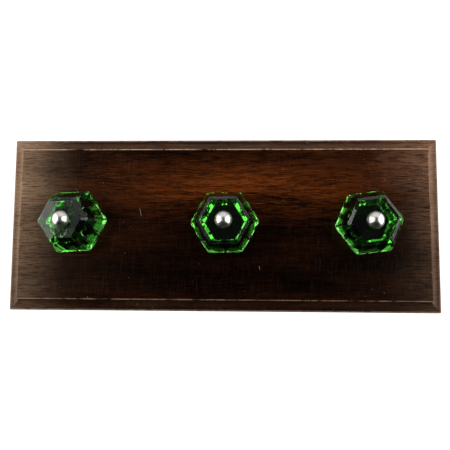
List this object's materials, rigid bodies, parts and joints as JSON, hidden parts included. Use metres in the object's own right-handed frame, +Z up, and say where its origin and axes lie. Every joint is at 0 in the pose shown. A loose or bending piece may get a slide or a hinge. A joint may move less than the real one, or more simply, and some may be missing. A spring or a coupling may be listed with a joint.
{
  "type": "wall rack with glass knobs",
  "caption": "Dark moulded hardwood wall rack carrying green hexagonal pressed-glass knobs on dome-headed through bolts.",
  "frame": {"origin": "in the wall plane, midway between the two wall screws that carry the rack (the top ends of the two keyhole slots)", "axes": "+Z up, +X along the board to the viewer's right, -Y out of the wall into the room"},
  "size_m": [0.3048, 0.0547, 0.123],
  "materials": {
    "stained_wood": "dark stain under semi-matt varnish",
    "green_glass": "clear emerald pressed glass",
    "polished_chrome": "polished",
    "nylon": "natural nylon",
    "black_rubber": "matt",
    "zinc_steel": "zinc plated"
  },
  "bodies": {
    "rack": {"backboard": "stained_wood", "dome_bolt_left": "polished_chrome", "dome_bolt_centre": "polished_chrome", "dome_bolt_right": "polished_chrome", "head_washer_left": "nylon", "head_washer_centre": "nylon", "head_washer_right": "nylon", "base_washer_left": "black_rubber", "base_washer_centre": "black_rubber", "base_washer_right": "black_rubber", "back_washer_left": "zinc_steel", "back_washer_centre": "zinc_steel", "back_washer_right": "zinc_steel", "hex_nut_left": "zinc_steel", "hex_nut_centre": "zinc_steel", "hex_nut_right": "zinc_steel", "keyhole_plate_left": "zinc_steel", "keyhole_plate_right": "zinc_steel", "hanger_screws": "zinc_steel"},
    "left_knob": {"glass_knob_left": "green_glass"},
    "centre_knob": {"glass_knob_centre": "green_glass"},
    "right_knob": {"glass_knob_right": "green_glass"}
  },
  "joints": [
    {"name": "left_knob_turn", "type": "hinge", "parent": "rack", "child": "left_knob", "pos_m": [-0.1035, -0.019, -0.035], "axis": [0, -1, 0], "continuous": true},
    {"name": "centre_knob_turn", "type": "hinge", "parent": "rack", "child": "centre_knob", "pos_m": [0.0017, -0.019, -0.035], "axis": [0, -1, 0], "continuous": true},
    {"name": "right_knob_turn", "type": "hinge", "parent": "rack", "child": "right_knob", "pos_m": [0.0982, -0.019, -0.035], "axis": [0, -1, 0], "continuous": true}
  ]
}
